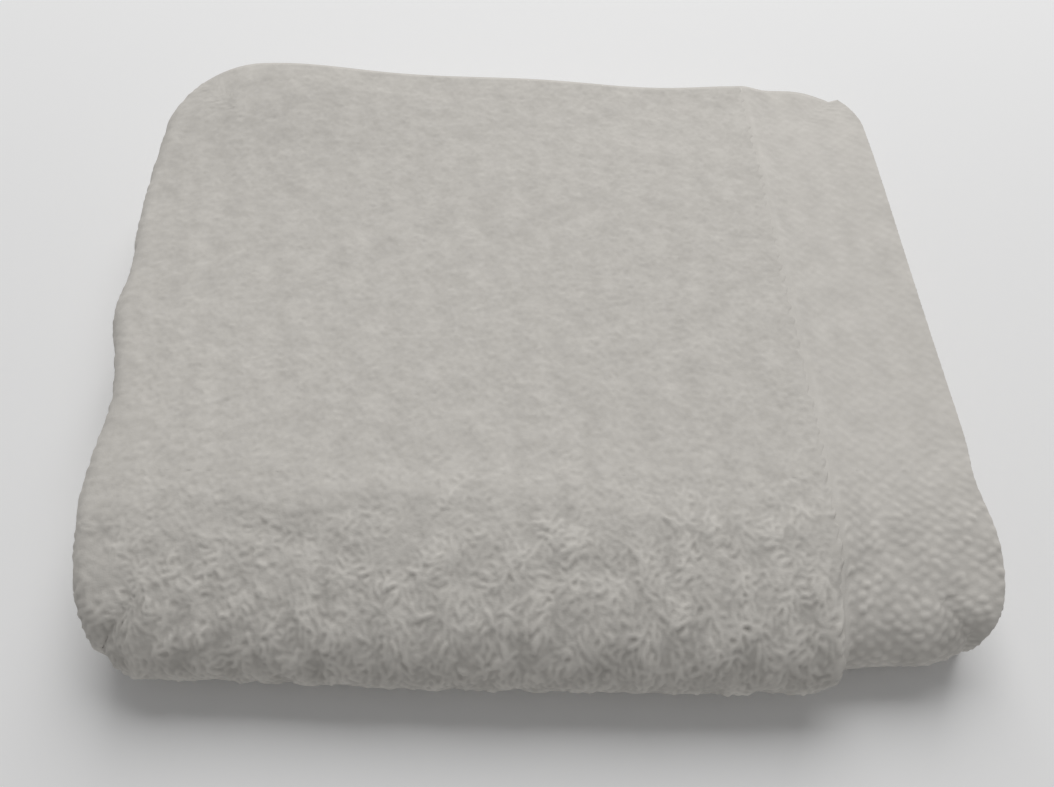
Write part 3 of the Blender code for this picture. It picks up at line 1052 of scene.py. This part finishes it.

# %% [markdown]
# ## From height to skin
# The skin stands on the cloth, as far out of it as its height says. Two things make it look like
# yarn and not like plaster. Its crests are painted lighter and its hollows darker, as painted
# shade for the light that goes into a hollow between strands and meets yarn again and again
# before it leaves. And it is fuzzy: its normals are turned part of the way to the cloth's own,
# so no strand has a hard shade.
#
# Where the pile ends, at the band, the skin comes up from under the ground's face along an uneven
# line, beside a smooth line of cord.

# %% Name the skin's finish
Style = namedtuple("Style", "crowns rises")
SKIN_FLOOR = -0.0002  # the height between the crowns
SKIN_LIFT = 0.00025  # how far the whole skin stands off the ground
TUCK = 0.0022  # over which the skin comes up where the pile ends
TUCK_DEPTH = 0.0004  # and how deep under the ground's face it starts
CORD_INSET, CORD_WIDTH, CORD_RISE = 0.0018, 0.0010, 0.00022  # the smooth line where the pile ends
SKIN_FUZZ = 0.50  # how far the skin's normals turn to the cloth's, as fuzz does
CREST = 0.00010  # a place that stands this far over its surroundings is painted one step lighter, as painted shade
CREST_REACH = 0.00092  # how far those surroundings reach
MOST_CREST_SHADE = 1.5
PRESSED_CREST_SHADE = 0.3  # how much of that painted shade the pressed pile shows
LOOSE_START = (Wave(0.0005, 0.005, 71),)
DRIFT = (Wave(0.3, 0.020, 31),)  # how the tone drifts over the cloth
# painted shade: the tufts that stand higher are lighter and the lower ones darker, on the waves that
# raise them
TUFT_SHADE = (Wave(0.65, 0.016, 21),)
CORD_TONE = 0.5
CORD_DRIFT = (Wave(0.5, 0.006, 33),)


def pile_rises(s, t):
    """0 where the pile ends, 1 a little way in. The first loops stand in an uneven line."""
    start = PILE_START + 0.0007 + ripples(s, t, LOOSE_START)
    return ease(start, start + TUCK, s)


def band_rises(s, t):
    """1 over the band, 0 under the first loops. Its end is straight, so t changes nothing."""
    return ease(PILE_END + 0.0010, PILE_END - 0.0005, s)


print("a crest of", 1000 * CREST, "mm is lighter by one step")

# %% [markdown]
# A skin of pile and a skin of woven grain differ only in what is stamped and where it rises, so
# one function shapes both.

# %% Shape a skin
def skin_normals(place, cloth_normals):
    """Each point's own normal, turned part of the way to the cloth's."""
    normals = np.cross(np.gradient(place, axis=1), np.gradient(place, axis=0))
    normals *= np.sign((normals * cloth_normals).sum(axis=-1, keepdims=True))
    normals /= np.linalg.norm(normals, axis=-1, keepdims=True) + 1e-12
    normals = (1.0 - SKIN_FUZZ) * normals + SKIN_FUZZ * cloth_normals
    return normals / np.linalg.norm(normals, axis=-1, keepdims=True)


def skin_of(patch, style):
    """The places, normals and tones of the skin over a patch, as grids, the tones with painted
    shade.
    """
    s_lines = lines_of(patch.low_s, patch.high_s, patch.pitch)
    t_lines = lines_of(patch.low_t, patch.high_t, patch.pitch)
    height = np.full((len(t_lines), len(s_lines)), SKIN_FLOOR)
    for crowns in style.crowns:
        stamp(height, s_lines, t_lines, crowns)
    height = softened(height, SOFT, patch.pitch)
    # painted shade: a crest that stands over its surroundings is lighter, a hollow darker
    level = softened(height, CREST_REACH, patch.pitch)
    crest_shade = np.clip((height - level) / CREST, -MOST_CREST_SHADE, MOST_CREST_SHADE).ravel()
    s, t = [grid.ravel() for grid in np.meshgrid(s_lines, t_lines)]
    on_s, on_t = np.clip(s, 0.0, along[-1]), np.clip(t, 0.0, across[-1])
    base, way_along, way_across, out, shown = on_cloth(on_s, on_t, OUTER)
    cord = hump((s - PILE_END + CORD_INSET) / CORD_WIDTH)
    inside = ease(0.0, TUCK, t) * ease(across[-1], across[-1] - TUCK, t)
    lift = height.ravel() + SKIN_LIFT + TUCK_DEPTH + CORD_RISE * cord
    lift = lift * style.rises(s, t) * inside - TUCK_DEPTH
    place = base + out * lift[:, None]
    place[:, 2] = np.maximum(place[:, 2], 0.0)
    place, out_grid = place.reshape(height.shape + (3,)), out.reshape(height.shape + (3,))
    plush = plush_share(s, t, base, out)
    crest_shade_share = PRESSED_CREST_SHADE + (1.0 - PRESSED_CREST_SHADE) * plush**2
    # the drift is the cotton's own tone; the tufts and the crests add painted shade
    tone = ripples(s, t, DRIFT) + plush * ripples(s, t, TUFT_SHADE) + crest_shade_share * crest_shade
    tone += CORD_TONE * cord * (1.0 + ripples(s, t, CORD_DRIFT))
    return inner(place), inner(skin_normals(place, out_grid)), inner(tone.reshape(height.shape))


print("softening of", 1000 * SOFT, "mm and a fuzz of", SKIN_FUZZ)

# %% [markdown]
# Each skin is a grid whose points are taken to their places, as the ground's were. A flat grid's
# faces look up, so they are turned round where the cloth's outer face looks the other way.

# %% Grow the skins of pile
def grow_skin(patch, style):
    place, normals, tones = skin_of(patch, style)
    tall, wide = tones.shape
    skin, column, row = add_grid(patch.name, wide, tall)
    mesh = skin.data
    mesh.vertices.foreach_set("co", place[row, column].astype(np.float32).ravel())
    if OUTER < 0:
        mesh.flip_normals()
    mesh.update()
    shade = mesh.attributes.new("shade", "FLOAT", "POINT")
    shade.data.foreach_set("value", tones[row, column].astype(np.float32))
    mesh.shade_smooth()
    mesh.normals_split_custom_set_from_vertices(normals[row, column])
    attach(skin, "root")
    print(skin.name, 2 * len(mesh.polygons), "triangles")
    return skin


terry = Style((pressed, shaggy), pile_rises)
skins = [grow_skin(patch, terry) for patch in PATCHES]

# %% [markdown]
# ## Loops that stand free
# Round the edges of the plies, where the skin ends, loops are planted one by one, on both faces
# of the cloth.

# %% Plant the free loops
SIDE_PITCH = 0.00285
SIDE_JITTER = 0.32
SIDE_LENGTH = (0.0026, 0.0034)  # where the pile is pressed, and where it hangs free
SIDE_WIDTH = (0.00180, 0.00260)
SIDE_FLAT = 0.85  # how thick a loop is, as a share of its width
SIDE_ROLL = 0.4
SIDE_START, SIDE_END = 62.0, 102.0  # degrees from upright at a loop's foot and at its crown


def free_places(pitch, seed):
    """The open places on both faces of the cloth that have pile and no skin."""
    found = []
    for side in (OUTER, -OUTER):
        s, t = woven_places(pitch, SIDE_JITTER, seed + side)
        keep = has_pile(s)
        s, t = s[keep], t[keep]
        place, way_along, way_across, out, shown = on_cloth(s, t, side)
        plush = plush_share(s, t, place, out)
        keep = (shown > LEAST_OPEN) & (~in_patches(s, t, 0.0) | (side != OUTER))
        found.append([array[keep] for array in (s, t, place, way_along, way_across, out, plush)])
    return [np.concatenate(arrays) for arrays in zip(*found)]


def grow_free_loops(found, seed):
    s, t, place, way_along, way_across, out, plush = found
    rng = np.random.default_rng(seed)
    lean, far = lie_of(s, t, way_along, way_across, out, plush, near_the_band(s, plush), seed)
    length = np.interp(plush, (0.0, 1.0), SIDE_LENGTH) * rng.uniform(0.8, 1.2, s.size)
    width = np.interp(plush, (0.0, 1.0), SIDE_WIDTH) * rng.uniform(0.85, 1.15, s.size)
    growth = Growth(
        length=length,
        width=width,
        thick=width * SIDE_FLAT,
        start=np.radians(SIDE_START) * rng.uniform(0.93, 1.07, s.size),
        end=np.radians(SIDE_END) * rng.uniform(0.96, 1.04, s.size),
        roll=rng.uniform(-SIDE_ROLL, SIDE_ROLL, s.size),
        sink=0.00010 * rng.normal(0.0, 1.0, s.size),
        shade=rng.normal(0.0, 0.35, s.size) + 0.4 * ripple(s, t, 0.020, 31),
    )
    return plant("edge_loops", side_loop, place, out, lean, growth)


pile = skins + [grow_free_loops(free_places(SIDE_PITCH, 120), 220)]

# %% [markdown]
# ## The band's weave
# The band is flat woven, with short floats of yarn on its face in a diamond layout: each float
# stands up as a small, rounded grain, a little aslant and a little out of line. The grains are
# stamped into a skin in the same way as the crowns of the loops. They lie along the cloth's own
# rows, so they follow the fold round the front as well. On top they have been pressed
# flat, and they are flatter again where the front turns under.

# %% Weave the band
GRAIN_CELL = (0.0074, 0.0058)  # the diamond's width along the cloth and its height across it
GRAIN_LENGTH, GRAIN_RADIUS, GRAIN_HEIGHT = 0.0016, 0.0014, 0.00030
GRAIN_SINK = 0.00012
GRAIN_JITTER = 0.00070
GRAIN_TURN, GRAIN_SPREAD = -24.0, 30.0  # degrees
LEAST_RAISED = 0.30
GRAIN_START_Y, GRAIN_END_Y = -0.060, -0.125  # between these the grains come to stand up
UNDER_START_Z, UNDER_END_Z = 0.022, 0.006  # and between these they flatten again, by half
RAISED_DRIFT = (Wave(0.25, 0.010, 51),)
BORDER = 0.0035  # a smooth strip between the pile and the first grains
BAND_END = PILE_END + 0.0010
BAND_PATCHES = (
    Patch("band_top", 0.0, BAND_END, 0.0, FRONT_T + SEAM, 0.00080),
    Patch("band_front", 0.0, BAND_END, FRONT_T, UNDER_T, 0.00070),
)


def lay_floats():
    """The centred lattice of floats on the band."""
    step_s, step_t = GRAIN_CELL
    s_rows = np.arange(step_s / 8, BAND_WIDTH, step_s / 2)
    t_rows = np.arange(step_t / 4, UNDER_T, step_t)
    s, t = np.meshgrid(s_rows, t_rows)
    t[:, 1::2] += step_t / 2
    s, t = s.ravel(), t.ravel()
    keep = s < PILE_END - BORDER
    s, t = s[keep], t[keep]
    rng = np.random.default_rng(7)
    s, t = s + rng.normal(0.0, GRAIN_JITTER, s.size), t + rng.normal(0.0, GRAIN_JITTER, s.size)
    place, way_along, way_across, out, shown = on_cloth(s, t, OUTER)
    raised = LEAST_RAISED + (1 - LEAST_RAISED) * ease(GRAIN_START_Y, GRAIN_END_Y, place[:, 1])
    raised *= 1.0 + ripples(s, t, RAISED_DRIFT)
    raised *= 1.0 - 0.5 * ease(UNDER_START_Z, UNDER_END_Z, place[:, 2])
    return Crowns(
        s=s,
        t=t,
        heading=np.radians(rng.normal(GRAIN_TURN, GRAIN_SPREAD, s.size)),
        curl=np.zeros_like(s),
        length=GRAIN_LENGTH * rng.uniform(0.8, 1.2, s.size),
        radius=GRAIN_RADIUS * rng.uniform(0.9, 1.1, s.size),
        height=GRAIN_HEIGHT * raised * rng.uniform(0.4, 1.4, s.size),
        base=GRAIN_HEIGHT * raised * rng.normal(1.0, 0.35, s.size) - GRAIN_SINK,
    )


weave = Style((lay_floats(),), band_rises)
bands = [grow_skin(patch, weave) for patch in BAND_PATCHES]

# %% [markdown]
# ## The hem's edge
# A row of small caps of yarn finishes each end: the rounded edge of the hem, where the cloth is
# turned under. A cap is cut from a ball, stretched to one unit, and copied along the edge.

# %% Model the cap
CAP_CUT = 0.2  # where the ball is cut, with its radius 0.5


def model_cap():
    """The cap of a ball, one unit wide and one high, standing on the origin."""
    bpy.ops.object.select_all(action="DESELECT")
    bpy.ops.mesh.primitive_uv_sphere_add(segments=8, ring_count=4, radius=0.5)
    cap = bpy.context.object
    cap.name = "cap"
    bpy.ops.object.mode_set(mode="EDIT")
    bpy.ops.mesh.select_all(action="SELECT")
    bpy.ops.mesh.bisect(plane_co=(0.0, 0.0, CAP_CUT), plane_no=(0.0, 0.0, 1.0), clear_inner=True)
    bpy.ops.mesh.select_all(action="SELECT")
    bpy.ops.transform.translate(value=(0.0, 0.0, -CAP_CUT))
    wide = 1.0 / (2.0 * math.sqrt(0.25 - CAP_CUT**2))
    high = 1.0 / (0.5 - CAP_CUT)
    bpy.ops.transform.resize(value=(wide, wide, high), center_override=(0.0, 0.0, 0.0))
    bpy.ops.object.mode_set(mode="OBJECT")
    return cap


edge_cap = shape_of(model_cap())
print("faces in a cap:", len(edge_cap[1]))

# %% Edge the hems
EDGE_SIZE = (0.0046, 0.0032, 0.0008)  # along the edge, through the cloth and outward
ROW_STEP = 0.0031  # between the caps
CAP_SINK = 0.08  # how deep a cap stands in the edge, as a share of its height


def edge_places(end):
    """A row of places on the edge of one hem: 0 is the outer end of the cloth, 1 the inner."""
    t = np.arange(ROW_STEP / 2, across[-1], ROW_STEP)
    s = np.full_like(t, along[-1] * end)
    place, way_along, way_across, out, shown = on_cloth(s, t, OUTER)
    shown = np.maximum(shown, on_cloth(s, t, -OUTER)[4])
    place = place - out * GROUND_THICKNESS / 2
    outward = way_along * (1.0 if end else -1.0)
    return place, way_across, outward, shown


def plant_caps():
    points, faces = edge_cap
    found = zip(edge_places(0), edge_places(1))
    place, long_way, out, shown = [np.concatenate(arrays) for arrays in found]
    keep = shown > LEAST_OPEN
    place, long_way, out = place[keep], long_way[keep], out[keep]
    rng = np.random.default_rng(7)
    size = EDGE_SIZE * rng.uniform(0.9, 1.1, (len(place), 3))
    short_way = np.cross(out, long_way)
    where = (
        place[:, None]
        + long_way[:, None] * (points[None, :, 0] * size[:, :1])[..., None]
        + short_way[:, None] * (points[None, :, 1] * size[:, 1:2])[..., None]
        + out[:, None] * ((points[None, :, 2] - CAP_SINK) * size[:, 2:])[..., None]
    )
    return join_copies("hem_edges", where, faces, out, rng.normal(0.0, 0.2, len(place)))


bands.append(plant_caps())

# %% [markdown]
# ## Cotton
# All of it is the same undyed, off-white cotton: rough, with hardly any shine and a faint sheen
# from the ends of its fibres. Real cotton drifts in tone, so noise of three sizes mixes a
# darker and a lighter off-white. The pile's off-whites are painted a little darker than the
# band's, as painted shade for the shade that its loops hold. Each point's own shade, set above,
# then makes the crests of the yarn lighter and the hollows darker, as painted shade.

# %% Mix the colour
# the pile's tones are painted a little darker than the band's: painted shade for the shade its loops
# hold
PILE_LIGHT = (0.689, 0.663, 0.620, 1.0)
PILE_DARK = (0.622, 0.597, 0.556, 1.0)
BAND_LIGHT = (0.706, 0.679, 0.636, 1.0)
BAND_DARK = (0.656, 0.630, 0.588, 1.0)
DRIFT_NOISE = ((60.0, 0.5), (170.0, 1.0), (420.0, 0.6))  # how fine each noise is, and its share
MIX_START = -0.55  # keeps the mixed noises in the middle of the ramp
RAMP_ENDS = (0.25, 0.75)
SHADE_STEP = 0.06  # how much lighter a shade of one makes the yarn


def noise(tree, scale, detail):
    """Noise over the object's own coordinates."""
    coordinates = tree.nodes.new("ShaderNodeTexCoord").outputs["Object"]
    node = tree.nodes.new("ShaderNodeTexNoise")
    node.inputs["Scale"].default_value = scale
    node.inputs["Detail"].default_value = detail
    tree.links.new(coordinates, node.inputs["Vector"])
    return node.outputs["Fac"]


def weighted(tree, value, weight, added):
    """value x weight + added, where added is a number or another node's output."""
    node = tree.nodes.new("ShaderNodeMath")
    node.operation = "MULTIPLY_ADD"
    node.inputs[1].default_value = weight
    tree.links.new(value, node.inputs[0])
    if isinstance(added, float):
        node.inputs[2].default_value = added
    else:
        tree.links.new(added, node.inputs[2])
    return node.outputs["Value"]


def drifting_colour(tree, dark, light):
    """A colour that drifts between two tones, made lighter or darker by each point's shade, which
    holds painted shade on the skins.
    """
    mixed = MIX_START
    for scale, share in DRIFT_NOISE:
        mixed = weighted(tree, noise(tree, scale, 2.0), share, mixed)
    ramp = tree.nodes.new("ShaderNodeValToRGB")
    for element, position, colour in zip(ramp.color_ramp.elements, RAMP_ENDS, (dark, light)):
        element.position, element.color = position, colour
    tree.links.new(mixed, ramp.inputs["Fac"])
    shade = tree.nodes.new("ShaderNodeAttribute")
    shade.attribute_name = "shade"
    lit = tree.nodes.new("ShaderNodeVectorMath")
    lit.operation = "SCALE"
    tree.links.new(ramp.outputs["Color"], lit.inputs["Vector"])
    tree.links.new(weighted(tree, shade.outputs["Fac"], SHADE_STEP, 1.0), lit.inputs["Scale"])
    return lit.outputs["Vector"]


print("a shade of one is", round(100 * SHADE_STEP), "per cent lighter")

# %% [markdown]
# Only the fibres, thinner than a fifth of a millimetre, are left to a bump, because modelling
# them would take millions of faces. The band's are finer, as its yarn is more tightly spun.

# %% Make the yarn
SHINE = {
    "Roughness": 0.95,
    "Specular IOR Level": 0.10,
    "Sheen Weight": 0.08,
    "Sheen Roughness": 0.5,
}
PILE_FIBRE, BAND_FIBRE = 0.00016, 0.00012
FIBRE_NOISE = 1300.0
FIBRE_STRENGTH = 0.5


def cotton(name, dark, light, fibre):
    """Rough cotton between two tones, with fibres of a depth in metres in its bump."""
    material = bpy.data.materials.new(name)
    material.use_nodes = True
    tree = material.node_tree
    shader = tree.nodes["Principled BSDF"]
    for setting, value in SHINE.items():
        shader.inputs[setting].default_value = value
    tree.links.new(drifting_colour(tree, dark, light), shader.inputs["Base Color"])
    bump = tree.nodes.new("ShaderNodeBump")
    bump.inputs["Strength"].default_value = FIBRE_STRENGTH
    bump.inputs["Distance"].default_value = fibre
    tree.links.new(noise(tree, FIBRE_NOISE, 3.0), bump.inputs["Height"])
    tree.links.new(bump.outputs["Normal"], shader.inputs["Normal"])
    print(name, "with", len(tree.nodes), "nodes")
    return material


terry_cotton = cotton("terry_cotton", PILE_DARK, PILE_LIGHT, PILE_FIBRE)
woven_cotton = cotton("woven_cotton", BAND_DARK, BAND_LIGHT, BAND_FIBRE)
for piece in pile:
    piece.data.materials.append(terry_cotton)
for piece in bands + [ground]:
    piece.data.materials.append(woven_cotton)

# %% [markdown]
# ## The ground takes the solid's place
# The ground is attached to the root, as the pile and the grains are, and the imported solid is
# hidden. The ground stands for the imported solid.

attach(ground, "root")
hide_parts("bath_sheet")
